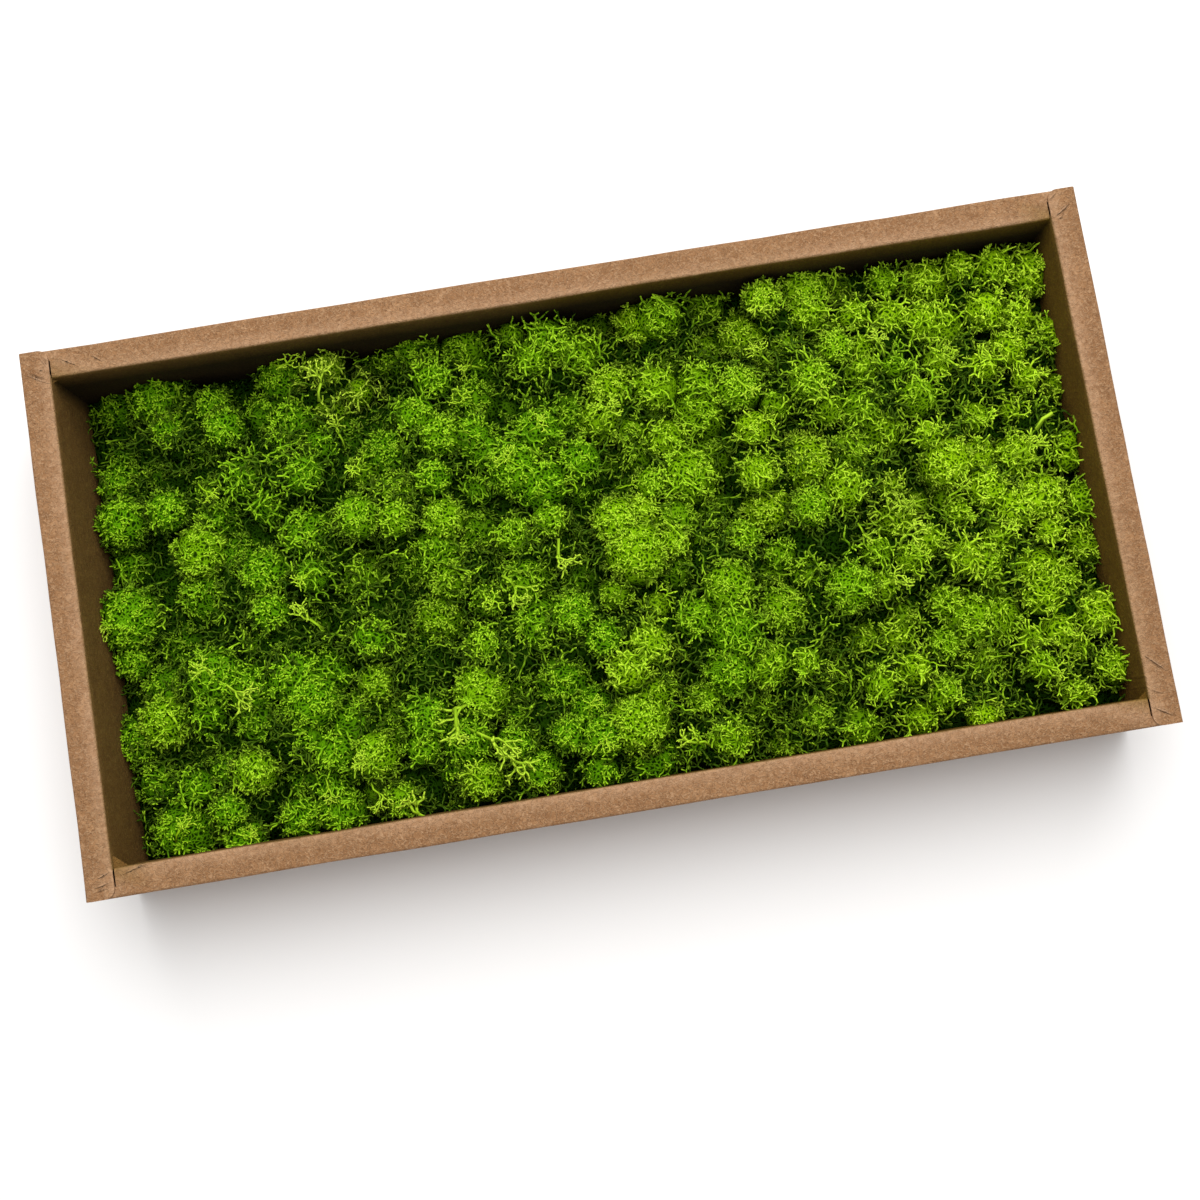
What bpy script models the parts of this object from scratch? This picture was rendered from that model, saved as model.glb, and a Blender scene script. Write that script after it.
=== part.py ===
"""Reindeer moss packed in a folded kraft tray.

Metres, +Z up, +X along the tray, +Y to its back. The origin is the middle of the tray's underside.
Tufts of moss are packed side by side on the tray's base. Each is a mat of stems with heads of tips.
"""

import math
import random

import bmesh
import bpy
import numpy as np
from mathutils import Matrix, Vector

# The tray, folded from one sheet of kraft card
TRAY_LENGTH = 0.300
TRAY_DEPTH = 0.153
TRAY_HEIGHT = 0.045
CARD = 0.0008
RIM_WIDTH = 0.008
FOLD_STEP = 0.0006
FOLD_INSET = 0.0003
RIM_END_ROUNDING = 0.0025
TAB_LENGTH = 0.020
CLEARANCE = 0.0003

# The moss. The height of its top is measured from the tray's underside
TUFT_COUNT = 24
HEAD_COUNT = 68
HEAD_RADIUS = (0.0150, 0.0180)
HEAD_FLATTENING = 0.85
TIP_RISE = 0.0032
TIPS_FROM = -0.1
MAT_DEPTH = 0.0140
MIDDLE_TOP = 0.0400
EDGE_TOP = 0.0300
EDGE_SLOPE = 0.0050
HUMMOCK_RISE = 0.0020
HUMMOCK_SPAN = (0.023, 0.019)
TOP_SCATTER = 0.0015
SPREAD_STEP = 0.0020
SPREAD_ROUNDS = 6
SEED = 11

INNER_X = TRAY_LENGTH / 2 - RIM_WIDTH
INNER_Y = TRAY_DEPTH / 2 - RIM_WIDTH
FLOOR = CARD + CLEARANCE


def clear_scene():
    for obj in list(bpy.data.objects):
        bpy.data.objects.remove(obj)


def collection(name, helper=False):
    made = bpy.data.collections.new(name)
    made.hide_render = helper
    bpy.context.scene.collection.children.link(made)
    return made


def material(name, color, roughness):
    made = bpy.data.materials.new(name)
    made.use_nodes = True
    shader = made.node_tree.nodes["Principled BSDF"]
    shader.inputs["Base Color"].default_value = (*color, 1)
    shader.inputs["Roughness"].default_value = roughness
    return made


def object_of(shape, name, home, finish=None):
    """Makes a bmesh an object in the collection home."""
    mesh = bpy.data.meshes.new(name)
    shape.to_mesh(mesh)
    shape.free()
    made = bpy.data.objects.new(name, mesh)
    home.objects.link(made)
    if finish:
        mesh.materials.append(finish)
    return made


def block(low, high):
    """A box between two corners."""
    shape = bmesh.new()
    size = Vector(high) - Vector(low)
    middle = (Vector(high) + Vector(low)) / 2
    bmesh.ops.create_cube(shape, size=1, matrix=Matrix.Translation(middle) @ Matrix.Diagonal((*size, 1)))
    return shape


def apply_modifiers(obj):
    graph = bpy.context.evaluated_depsgraph_get()
    done = bpy.data.meshes.new_from_object(obj.evaluated_get(graph))
    obj.modifiers.clear()
    old = obj.data
    obj.data = done
    bpy.data.meshes.remove(old)


def combine(obj, operation, others, solver="EXACT"):
    """Applies a Boolean with every object of the collection others, and removes that collection."""
    modifier = obj.modifiers.new(operation, "BOOLEAN")
    modifier.operation = operation
    modifier.solver = solver
    modifier.operand_type = "COLLECTION"
    modifier.collection = others
    apply_modifiers(obj)
    for other in list(others.objects):
        bpy.data.objects.remove(other)
    bpy.data.collections.remove(others)


def keep_outer_skin(obj):
    """Fills the small hollows that fusing sealed in, and drops loose scraps: only the largest skin stays."""
    shape = bmesh.new()
    shape.from_mesh(obj.data)
    unseen = set(shape.verts)
    skins = []
    while unseen:
        skin = set()
        reached = {next(iter(unseen))}
        while reached:
            skin |= reached
            reached = {edge.other_vert(vert) for vert in reached for edge in vert.link_edges} - skin
        unseen -= skin
        skins.append(skin)
    largest = max(skins, key=len)
    bmesh.ops.delete(shape, geom=[vert for vert in shape.verts if vert not in largest], context="VERTS")
    shape.to_mesh(obj.data)
    shape.free()


# The tray: four double walls rolled over from the outside, with a hollow in each

def outer_shell(home, finish):
    """The base panel and the four outer walls, as one open box."""
    top = TRAY_HEIGHT - FOLD_STEP - CARD / 2
    shape = block((-TRAY_LENGTH / 2, -TRAY_DEPTH / 2, 0), (TRAY_LENGTH / 2, TRAY_DEPTH / 2, top))
    lid = max(shape.faces, key=lambda face: face.calc_center_median().z)
    bmesh.ops.delete(shape, geom=[lid], context="FACES_ONLY")
    tray = object_of(shape, "kraft_tray", home, finish)
    walls = tray.modifiers.new("card", "SOLIDIFY")
    walls.thickness = CARD
    walls.offset = -1
    walls.use_even_offset = True
    apply_modifiers(tray)
    return tray


def side_walls(home):
    """The front and back walls' rims, which run under the end rims, and their inner panels."""
    top = TRAY_HEIGHT - FOLD_STEP
    reach_x = TRAY_LENGTH / 2 - FOLD_INSET
    reach_y = TRAY_DEPTH / 2 - FOLD_INSET
    for name, side in (("front", -1), ("back", 1)):
        rim = sorted((side * INNER_Y, side * reach_y))
        object_of(block((-reach_x, rim[0], top - CARD), (reach_x, rim[1], top)), name + "_rim", home)
        panel = sorted((side * INNER_Y, side * (INNER_Y + CARD)))
        foot = block((-INNER_X - CARD / 2, panel[0], FLOOR), (INNER_X + CARD / 2, panel[1], top - CARD / 2))
        object_of(foot, name + "_panel", home)
        for spot in (-TRAY_LENGTH / 4, TRAY_LENGTH / 4):
            tab = block(
                (spot - TAB_LENGTH / 2, panel[0], CARD / 2),
                (spot + TAB_LENGTH / 2, panel[1], FLOOR + CARD),
            )
            object_of(tab, name + "_tab", home)


def end_walls(home):
    """The end walls' rims, which lie over the side rims with rounded ends, and their inner panels."""
    for name, side in (("left", -1), ("right", 1)):
        rim_x = sorted((side * INNER_X, side * (TRAY_LENGTH / 2 - FOLD_INSET)))
        reach_y = TRAY_DEPTH / 2 - FOLD_INSET / 2
        rim = block((rim_x[0], -reach_y, TRAY_HEIGHT - CARD), (rim_x[1], reach_y, TRAY_HEIGHT))
        corners = [
            edge
            for edge in rim.edges
            if abs(edge.verts[0].co.z - edge.verts[1].co.z) > CARD / 2
            and abs(edge.verts[0].co.x - side * INNER_X) < CARD / 2
        ]
        bmesh.ops.bevel(rim, geom=corners, offset=RIM_END_ROUNDING, segments=4, profile=0.5, affect="EDGES")
        object_of(rim, name + "_rim", home)
        panel = sorted((side * INNER_X, side * (INNER_X + CARD)))
        foot = block(
            (panel[0], -INNER_Y - CARD / 2, FLOOR),
            (panel[1], INNER_Y + CARD / 2, TRAY_HEIGHT - CARD / 2),
        )
        object_of(foot, name + "_panel", home)
        tab = block((panel[0], -TAB_LENGTH / 2, CARD / 2), (panel[1], TAB_LENGTH / 2, FLOOR + CARD))
        object_of(tab, name + "_tab", home)


# The moss: heads are spread over the bed, and each belongs to the nearest tuft

def nearest(points, spots):
    """For each point, the number of the nearest spot."""
    return np.argmin(((points[:, None] - spots[None]) ** 2).sum(2), axis=1)


def spread(count, draw):
    """Spots over the bed, rounded at its corners: random ones, moved a few times to the middle of their shares."""
    x = np.arange(-INNER_X, INNER_X, SPREAD_STEP) + SPREAD_STEP / 2
    y = np.arange(-INNER_Y, INNER_Y, SPREAD_STEP) + SPREAD_STEP / 2
    bed = np.stack(np.meshgrid(x, y), axis=-1).reshape(-1, 2)
    bed = bed[(np.abs(bed / (INNER_X, INNER_Y)) ** 7).sum(1) < 1.15]
    spots = bed[draw.sample(range(len(bed)), count)]
    for _ in range(SPREAD_ROUNDS):
        share = nearest(bed, spots)
        spots = np.array([bed[share == spot].mean(axis=0) for spot in range(count)])
    return spots


def bed_top(x, y):
    """The height of the moss, which crowns in the middle, rises to the right, and has low hummocks."""
    u = min(1, abs(x) / INNER_X)
    v = min(1, abs(y) / INNER_Y)
    crown = (1 - u**4) * (1 - v**3)
    edge = EDGE_TOP + EDGE_SLOPE * x / INNER_X
    hummocks = math.sin(x / HUMMOCK_SPAN[0] + 1) * math.cos(y / HUMMOCK_SPAN[1] + 2)
    return edge + (MIDDLE_TOP - edge) * crown + HUMMOCK_RISE * hummocks


def plan_heads(draw):
    """Each head's tuft, centre and radius."""
    feet = spread(TUFT_COUNT, draw)
    spots = spread(HEAD_COUNT, draw)
    heads = []
    for (x, y), tuft in zip(spots.tolist(), nearest(spots, feet).tolist()):
        radius = draw.uniform(*HEAD_RADIUS)
        top = bed_top(x, y) + draw.uniform(-TOP_SCATTER, TOP_SCATTER)
        heads.append((tuft, Vector((x, y, top - radius * HEAD_FLATTENING)), radius))
    return heads


def moss_ball(centre, radius, draw):
    """A ball with a short tip on each face that looks up or out."""
    shape = bmesh.new()
    bmesh.ops.create_icosphere(shape, subdivisions=2, radius=radius - TIP_RISE)
    turn = Matrix.Rotation(draw.uniform(0, math.tau), 4, "Z") @ Matrix.Rotation(draw.uniform(0, 1), 4, "X")
    bmesh.ops.transform(shape, matrix=turn, verts=shape.verts)
    shape.normal_update()
    outer = [face for face in shape.faces if face.normal.z > TIPS_FROM]
    bmesh.ops.poke(shape, faces=outer, offset=TIP_RISE)
    place = Matrix.Translation(centre) @ Matrix.Diagonal((1, 1, HEAD_FLATTENING, 1))
    bmesh.ops.transform(shape, matrix=place, verts=shape.verts)
    return shape


def room_of(head, heads):
    """The part of the tray that is nearer to this head than to any head of another tuft."""
    room = block(
        (-INNER_X + CLEARANCE, -INNER_Y + CLEARANCE, FLOOR),
        (INNER_X - CLEARANCE, INNER_Y - CLEARANCE, TRAY_HEIGHT * 2),
    )
    for other in heads:
        if other[0] == head[0]:
            continue
        away = other[1] - head[1]
        away.z = 0
        edge = head[1] + away / 2 - away.normalized() * CLEARANCE / 2
        everything = room.verts[:] + room.edges[:] + room.faces[:]
        cut = bmesh.ops.bisect_plane(room, geom=everything, plane_co=edge, plane_no=away, clear_outer=True)
        rim = [part for part in cut["geom_cut"] if isinstance(part, bmesh.types.BMEdge)]
        if rim:
            bmesh.ops.holes_fill(room, edges=rim)
    bmesh.ops.recalc_face_normals(room, faces=room.faces)
    return room


def moss_head(head, heads, home, finish, draw):
    """A head with the matted stems under it, pressed flat where it meets the heads of other tufts."""
    _, centre, radius = head
    mat_top = bed_top(centre.x, centre.y) - MAT_DEPTH
    mat = block((-TRAY_LENGTH / 2, -TRAY_DEPTH / 2, 0), (TRAY_LENGTH / 2, TRAY_DEPTH / 2, mat_top))
    made = object_of(mat, "head", home, finish)
    ball = collection("ball", helper=True)
    object_of(moss_ball(centre, radius, draw), "ball", ball)
    combine(made, "UNION", ball, "MANIFOLD")
    room = collection("room", helper=True)
    object_of(room_of(head, heads), "room", room)
    combine(made, "INTERSECT", room, "MANIFOLD")
    return made


def moss_tuft(number, heads, home, finish, draw):
    """One tuft: all its heads, fused in one body."""
    own = [head for head in heads if head[0] == number]
    tuft = moss_head(own[0], heads, home, finish, draw)
    tuft.name = f"moss_tuft_{number + 1:02d}"
    if own[1:]:
        others = collection("other_heads", helper=True)
        for head in own[1:]:
            moss_head(head, heads, others, finish, draw)
        combine(tuft, "UNION", others, "MANIFOLD")
    keep_outer_skin(tuft)
    return tuft


clear_scene()
product = collection("moss_tray")

kraft = material("kraft_card", (0.42, 0.25, 0.14), 0.85)
tray = outer_shell(product, kraft)
folds = collection("folds", helper=True)
side_walls(folds)
end_walls(folds)
combine(tray, "UNION", folds)

draw = random.Random(SEED)
heads = plan_heads(draw)
moss = material("moss", (0.16, 0.36, 0.02), 0.75)
for number in range(TUFT_COUNT):
    moss_tuft(number, heads, product, moss, draw)
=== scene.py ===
"""Reindeer moss packed in a folded kraft tray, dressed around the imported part. Metres, +Z up."""

import math
import random

import bmesh
import bpy
import numpy as np
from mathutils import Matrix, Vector


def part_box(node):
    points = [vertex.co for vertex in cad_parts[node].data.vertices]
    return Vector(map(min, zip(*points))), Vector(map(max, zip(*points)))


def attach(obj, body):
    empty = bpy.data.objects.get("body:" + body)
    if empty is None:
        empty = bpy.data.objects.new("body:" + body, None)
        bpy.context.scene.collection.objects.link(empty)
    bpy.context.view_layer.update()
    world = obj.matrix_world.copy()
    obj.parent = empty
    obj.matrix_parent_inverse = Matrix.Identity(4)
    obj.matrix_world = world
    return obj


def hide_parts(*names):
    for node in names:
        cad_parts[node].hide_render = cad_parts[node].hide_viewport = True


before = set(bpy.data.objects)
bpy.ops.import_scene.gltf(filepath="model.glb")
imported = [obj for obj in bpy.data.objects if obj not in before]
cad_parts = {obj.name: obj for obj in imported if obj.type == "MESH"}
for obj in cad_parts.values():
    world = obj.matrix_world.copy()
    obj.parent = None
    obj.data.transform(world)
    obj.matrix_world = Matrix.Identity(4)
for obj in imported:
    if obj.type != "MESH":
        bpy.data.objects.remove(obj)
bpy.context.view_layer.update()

bpy.ops.object.select_all(action="DESELECT")

# The tray: a shallow gift tray folded from one sheet of kraft card, 0.8 mm thick, which waves a little. Its
# four walls are double, rolled over at the top in an 8 mm rim. The rims of the ends lie over those of the
# sides, which are slit at the corners, and finish in tabs with rounded corners.
CARD = 0.0008
RIM_WIDTH = 0.008
RIM_STEP = 0.0006
FOLD_ROUNDING = 0.0008
TAB_ROUNDING = 0.0028
SLIT_WIDTH = 0.0006
SLIT_LENGTH = 0.0050
PANEL_FOOT = 0.0011
CUTS = 12
CUT_SHIFT = 0.0011
CUT_HEIGHTS = (0.25, 0.5, 0.75, 0.92)
WAVE = 0.0006
HAIR = 0.0001
TOLERANCE = 0.00005
tray_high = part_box("kraft_tray")[1]
OUTER_X = tray_high.x - WAVE / 2
OUTER_Y = tray_high.y - WAVE / 2
TRAY_TOP = tray_high.z - WAVE / 2
INNER_X = tray_high.x - RIM_WIDTH
INNER_Y = tray_high.y - RIM_WIDTH


def pick(kind, test):
    """In edit mode, selects the vertices, edges or faces whose middle passes the test, and nothing else."""
    bpy.ops.mesh.select_mode(type=kind)
    bpy.ops.mesh.select_all(action="DESELECT")
    shape = bmesh.from_edit_mesh(bpy.context.edit_object.data)
    for part in {"VERT": shape.verts, "EDGE": shape.edges, "FACE": shape.faces}[kind]:
        corners = [part] if kind == "VERT" else part.verts
        part.select_set(test(sum((corner.co for corner in corners), Vector()) / len(corners)))
    shape.select_flush_mode()
    bmesh.update_edit_mesh(bpy.context.edit_object.data)


def cut_across(test, axis, place):
    """Cuts the faces that pass the test at one place along an axis."""
    pick("FACE", test)
    normal = Vector((0, 0, 0))
    normal[axis] = 1
    bpy.ops.mesh.bisect(plane_co=normal * place, plane_no=normal)


def near(value, target):
    return abs(value - target) < TOLERANCE


def double_wall(name, half_length, middle, top, panel_end, tabs):
    """A wall along X: outer panel, rim and inner panel, from a box that lost its ends and underside."""
    inner = middle - RIM_WIDTH / 2
    outer = middle + RIM_WIDTH / 2
    fold_end = panel_end if tabs else panel_end - SLIT_WIDTH

    def over_slit(spot):
        return near(spot.z, top) and near(abs(spot.x), panel_end - SLIT_WIDTH / 2)

    def on_fold(spot):
        along_inner = near(spot.y, inner) and abs(spot.x) < fold_end
        return near(spot.z, top) and (near(spot.y, outer) or along_inner)

    size = (2 * half_length, RIM_WIDTH, top)
    bpy.ops.mesh.primitive_cube_add(size=1, location=(0, middle, top / 2), scale=size)
    wall = bpy.context.object
    wall.name = name
    bpy.ops.object.transform_apply(location=True, rotation=True, scale=True)
    bpy.ops.object.mode_set(mode="EDIT")
    pick("FACE", lambda spot: near(spot.z, 0) or near(abs(spot.x), half_length))
    bpy.ops.mesh.delete(type="FACE")
    for end in (-1, 1):
        cut_across(lambda spot: near(spot.y, inner), 0, end * panel_end)
        cut_across(lambda spot: near(spot.z, top), 0, end * panel_end)
        if not tabs:
            cut_across(lambda spot: near(spot.z, top), 0, end * fold_end)
    pick("FACE", lambda spot: near(spot.y, inner) and abs(spot.x) > panel_end)
    bpy.ops.mesh.delete(type="FACE")
    pick("VERT", lambda spot: near(spot.y, inner) and near(spot.z, 0))
    bpy.ops.transform.translate(value=(0, 0, PANEL_FOOT))
    if tabs:
        pick("VERT", lambda spot: near(spot.y, inner) and near(abs(spot.x), half_length))
        bpy.ops.mesh.bevel(offset=TAB_ROUNDING, segments=6, affect="VERTICES")
    else:
        cut_across(over_slit, 1, inner + SLIT_LENGTH)
        pick("FACE", lambda spot: over_slit(spot) and spot.y < inner + SLIT_LENGTH)
        bpy.ops.mesh.delete(type="FACE")
    for step in range(1 - CUTS, CUTS):
        cut_across(lambda spot: True, 0, step * panel_end / CUTS + CUT_SHIFT)
    for height in CUT_HEIGHTS:
        cut_across(lambda spot: spot.z < top - HAIR, 2, height * top)
    pick("EDGE", on_fold)
    bpy.ops.mesh.bevel(offset=FOLD_ROUNDING, segments=4, affect="EDGES")
    bpy.ops.object.mode_set(mode="OBJECT")
    return wall


side_top = TRAY_TOP - RIM_STEP
side_end = OUTER_X - CARD - HAIR
side_middle = OUTER_Y - RIM_WIDTH / 2
end_middle = OUTER_X - RIM_WIDTH / 2
walls = [
    double_wall("back_wall", side_end, side_middle, side_top, INNER_X, False),
    double_wall("front_wall", side_end, side_middle, side_top, INNER_X, False),
    double_wall("left_wall", OUTER_Y, end_middle, TRAY_TOP, INNER_Y, True),
    double_wall("right_wall", OUTER_Y, end_middle, TRAY_TOP, INNER_Y, True),
]
for wall, turn in zip(walls, (0, 180, 90, -90)):
    wall.rotation_euler.z = math.radians(turn)

# small gussets left over from the folding peep out in the inner corners: each one's corner and reach
GUSSETS = (
    (-INNER_X, -INNER_Y, 0.0040),
    (-INNER_X, INNER_Y, 0.0018),
    (INNER_X, -INNER_Y, 0.0024),
)
GUSSET_BELOW = 0.0010
GUSSET_DROP = -0.0022
GUSSET_ROUNDING = 0.3
for x, y, reach in GUSSETS:
    right = -math.copysign(1, x)
    back = -math.copysign(1, y)
    middle = (x + right * reach / 2, y + back * reach / 2, side_top - GUSSET_BELOW)
    bpy.ops.mesh.primitive_plane_add(size=reach, location=middle)
    gusset = bpy.context.object
    bpy.ops.object.transform_apply(location=True)
    bpy.ops.object.mode_set(mode="EDIT")
    pick("VERT", lambda spot: near(spot.x, x + right * reach) and near(spot.y, y + back * reach))
    bpy.ops.mesh.delete(type="VERT")
    bpy.ops.mesh.select_all(action="SELECT")
    bpy.ops.mesh.edge_face_add()
    pick("VERT", lambda spot: near(spot.x, x + right * reach))
    bpy.ops.transform.translate(value=(0, 0, GUSSET_DROP))
    pick("VERT", lambda spot: not (near(spot.x, x) and near(spot.y, y)))
    bpy.ops.mesh.bevel(offset=reach * GUSSET_ROUNDING, segments=4, affect="VERTICES")
    bpy.ops.object.mode_set(mode="OBJECT")
    walls.append(gusset)

# the base, with the walls and gussets joined to it, and then the card's waves and thickness
BASE_MARGIN = 0.0004
bpy.ops.mesh.primitive_plane_add(size=1, location=(0, 0, CARD))
tray = bpy.context.object
tray.name = "tray_card"
tray.scale = (2 * OUTER_X - BASE_MARGIN, 2 * OUTER_Y - BASE_MARGIN, 1)
for wall in walls:
    wall.select_set(True)
bpy.ops.object.transform_apply(location=True, rotation=True, scale=True)
bpy.ops.object.join()
warp = bpy.data.textures.new("card_warp", "CLOUDS")
warp.noise_scale = 0.030
wave = tray.modifiers.new("wave", "DISPLACE")
wave.texture = warp
wave.texture_coords = "LOCAL"
wave.strength = WAVE
card = tray.modifiers.new("card", "SOLIDIFY")
card.thickness = CARD
card.offset = -1
for modifier in list(tray.modifiers):
    bpy.ops.object.modifier_apply(modifier=modifier.name)
bpy.ops.object.shade_smooth_by_angle(angle=math.radians(35))

# how worn each place of the card is by its folding; its painted shade inside the tray, tinted olive by
# painted light reflected off the moss and less on the left; and more painted shade down the back wall
WEAR_REACH = 0.0012
WALL_SHADE_REACH = 0.0009
LEFT_WALL_SHADE = 0.80
BACK_WALL_SHADE_REACH = 0.009
END_FACE = 0.0012
BACK_FACE = 0.0015
card_points = np.array([vertex.co for vertex in tray.data.vertices])
card_x = np.abs(card_points[:, 0])
card_y = np.abs(card_points[:, 1])
card_z = card_points[:, 2]
side_fold = np.hypot(card_y - INNER_Y, card_z - side_top) + np.maximum(card_x - INNER_X, 0)
end_fold = np.hypot(card_x - INNER_X, card_z - TRAY_TOP)
wear = np.exp(-((np.minimum(side_fold, end_fold) / WEAR_REACH) ** 2))
within = (card_x < INNER_X + CARD) & (card_y < INNER_Y + CARD)
below = np.where(card_x > INNER_X - END_FACE, TRAY_TOP, side_top) - card_z
# painted shade inside the tray, growing down from the rim, less on the left
wall_shade = np.where(within, np.clip(below / WALL_SHADE_REACH, 0, 1), 0)
wall_shade = wall_shade * np.where(card_points[:, 0] < 0, LEFT_WALL_SHADE, 1)
# painted shade that deepens down the back wall's inner face
at_back = within & (card_points[:, 1] > INNER_Y - BACK_FACE)
back_wall_shade = np.where(at_back, np.clip(below / BACK_WALL_SHADE_REACH, 0, 1), 0)
card_wear_and_shade = np.column_stack([wear, wall_shade, back_wall_shade, np.ones(len(wear))]).astype(np.float32)
layer = tray.data.color_attributes.new("card_wear_and_shade", "FLOAT_COLOR", "POINT")
layer.data.foreach_set("color", card_wear_and_shade.ravel())

# Kraft card: brown unbleached pulp, mottled, with short pale and dark fibres lying all ways. It is paler
# where its inner folds are worn. Down inside the tray it has painted shade, tinted olive by painted light
# reflected off the moss.
FIBRE_WIDTH = 0.00030
kraft = bpy.data.materials.new("kraft_card")
kraft.use_nodes = True
card_where = kraft.node_tree.nodes.new("ShaderNodeTexCoord").outputs["Object"]


def node(material, kind, settings, feeds):
    """A shader node with its settings, and a source or a fixed value for each of its inputs."""
    made = material.node_tree.nodes.new("ShaderNode" + kind)
    for name, value in settings.items():
        setattr(made, name, value)
    for name, value in feeds.items():
        if isinstance(value, bpy.types.NodeSocket):
            material.node_tree.links.new(value, made.inputs[name])
        else:
            made.inputs[name].default_value = value
    return made


def noise(material, where, **feeds):
    """Clouds over a piece."""
    return node(material, "TexNoise", {}, {"Vector": where, **feeds})


def tint(material, factor, first, second, kind="MIX"):
    """The first colour, going over to the second, or to both multiplied, by the factor."""
    first, second = [(*colour, 1) if isinstance(colour, tuple) else colour for colour in (first, second)]
    settings = {"data_type": "RGBA", "blend_type": kind}
    return node(material, "Mix", settings, {"Factor": factor, 6: first, 7: second}).outputs[2]


def span(material, source, low, high, to=1.0):
    """The source from low to high, as 0 to a top value."""
    feeds = {"Value": source, "From Min": low, "From Max": high, "To Max": to}
    return node(material, "MapRange", {}, feeds).outputs["Result"]


def maths(operation, *values):
    """Sources and numbers of the card put through one operation."""
    return node(kraft, "Math", {"operation": operation}, dict(enumerate(values))).outputs[0]


def laid(**feeds):
    """The places on the card, measured from a place, along a turn and in a size of their own."""
    mapping = node(kraft, "Mapping", {"vector_type": "TEXTURE"}, {"Vector": card_where, **feeds})
    return mapping.outputs["Vector"]


def fibres(turn, length):
    """Noise drawn out along one direction."""
    where = laid(Rotation=turn, Scale=(length, FIBRE_WIDTH, FIBRE_WIDTH))
    return noise(kraft, where, Scale=1, Detail=1).outputs["Fac"]


mottle = noise(kraft, card_where, Scale=260, Detail=5, Roughness=0.68).outputs["Fac"]
patches = noise(kraft, card_where, Scale=45, Detail=2).outputs["Fac"]
pulp = tint(kraft, span(kraft, mottle, 0.32, 0.68), (0.228, 0.110, 0.044), (0.362, 0.192, 0.088))
pulp = tint(kraft, span(kraft, patches, 0.35, 0.65, 0.35), pulp, (0.235, 0.112, 0.045))
pale_fibres = [fibres((0.3, 0.2, 0.5), 0.0016), fibres((-0.4, 0.3, 2.3), 0.0020)]
dark_fibres = [fibres((0.2, -0.3, -0.3), 0.0015), fibres((0.5, 0.4, 1.5), 0.0018)]
for fibre in pale_fibres:
    pulp = tint(kraft, span(kraft, fibre, 0.58, 0.74, 0.75), pulp, (0.430, 0.255, 0.135))
for fibre in dark_fibres:
    pulp = tint(kraft, span(kraft, fibre, 0.58, 0.74, 0.75), pulp, (0.120, 0.052, 0.018))

# the curled fibres at its surface, each a pale line with a painted shade line beside it
curls = noise(kraft, card_where, Scale=680, Detail=1, Distortion=0.7).outputs["Fac"]


def curl_lines(level, width):
    """Thin curly lines where the curls' noise is at one level."""
    return span(kraft, maths("ABSOLUTE", maths("SUBTRACT", curls, level)), width, 0)


curl_tops = curl_lines(0.50, 0.055)
pulp = tint(kraft, span(kraft, curl_tops, 0, 1, 0.40), pulp, (0.500, 0.310, 0.175))
# painted shade beside each pale curl
pulp = tint(kraft, span(kraft, curl_lines(0.60, 0.050), 0, 1, 0.40), pulp, (0.150, 0.066, 0.025))

# the creases that the folding left at the corners: place in millimetres, heading in degrees, half length in
# millimetres, and height as a share of the highest
CREASES = [
    (145.2, 70.0, 34, 2.9, 1.0),
    (143.2, 74.4, 40, 1.7, 0.6),
    (144.0, 67.9, 28, 1.1, 0.6),
    (-145.3, 68.3, 150, 3.6, 1.0),
    (-143.9, 70.6, -29, 1.3, 0.5),
    (-142.9, 72.6, 120, 2.4, 0.6),
    (-136.4, 72.1, -30, 2.8, 0.8),
    (-128.4, 71.9, -38, 2.1, 0.7),
    (-144.4, -69.7, 20, 2.0, 0.9),
    (-145.0, -72.3, 12, 2.5, 0.8),
    (-145.1, -73.4, 12, 1.9, 0.5),
    (-135.3, -69.1, 15, 5.2, 0.9),
    (145.4, -59.2, -45, 4.1, 1.0),
    (144.1, -66.8, -25, 2.5, 0.5),
    (144.8, -72.3, -32, 3.6, 0.9),
    (141.9, -62.3, -52, 1.6, 0.4),
    (141.3, -64.6, -45, 2.0, 0.4),
    (139.6, -69.5, -36, 1.7, 0.3),
]
CREASE_WIDTH = 0.00045
CREASE_REACH_DOWN = 0.02
GROOVE = -0.8
MILLIMETRES = 1000


def crease(ridges, x, y, heading, reach, height):
    """The ridges so far and one crease more: a sharp ridge with a groove along its lower side."""
    x, y, reach = x / MILLIMETRES, y / MILLIMETRES, reach / MILLIMETRES
    angle = math.radians(heading)
    for shift, share in ((0, 1), (-CREASE_WIDTH, GROOVE)):
        place = (x - math.sin(angle) * shift, y + math.cos(angle) * shift, TRAY_TOP)
        size = (reach, CREASE_WIDTH, CREASE_REACH_DOWN)
        where = laid(Location=place, Rotation=(0, 0, angle), Scale=size)
        ridge = node(kraft, "TexGradient", {"gradient_type": "SPHERICAL"}, {"Vector": where})
        ridges = maths("MULTIPLY_ADD", ridge.outputs["Fac"], share * height, ridges)
    return ridges


def finish(material, roughness, shine, sources):
    """The material's shader: how rough and how shiny it is, and where its colour and relief come from."""
    inputs = material.node_tree.nodes["Principled BSDF"].inputs
    inputs["Roughness"].default_value = roughness
    inputs["Specular IOR Level"].default_value = shine
    for name, source in sources.items():
        material.node_tree.links.new(source, inputs[name])


ridges = 0
for place in CREASES:
    ridges = crease(ridges, *place)
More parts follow.
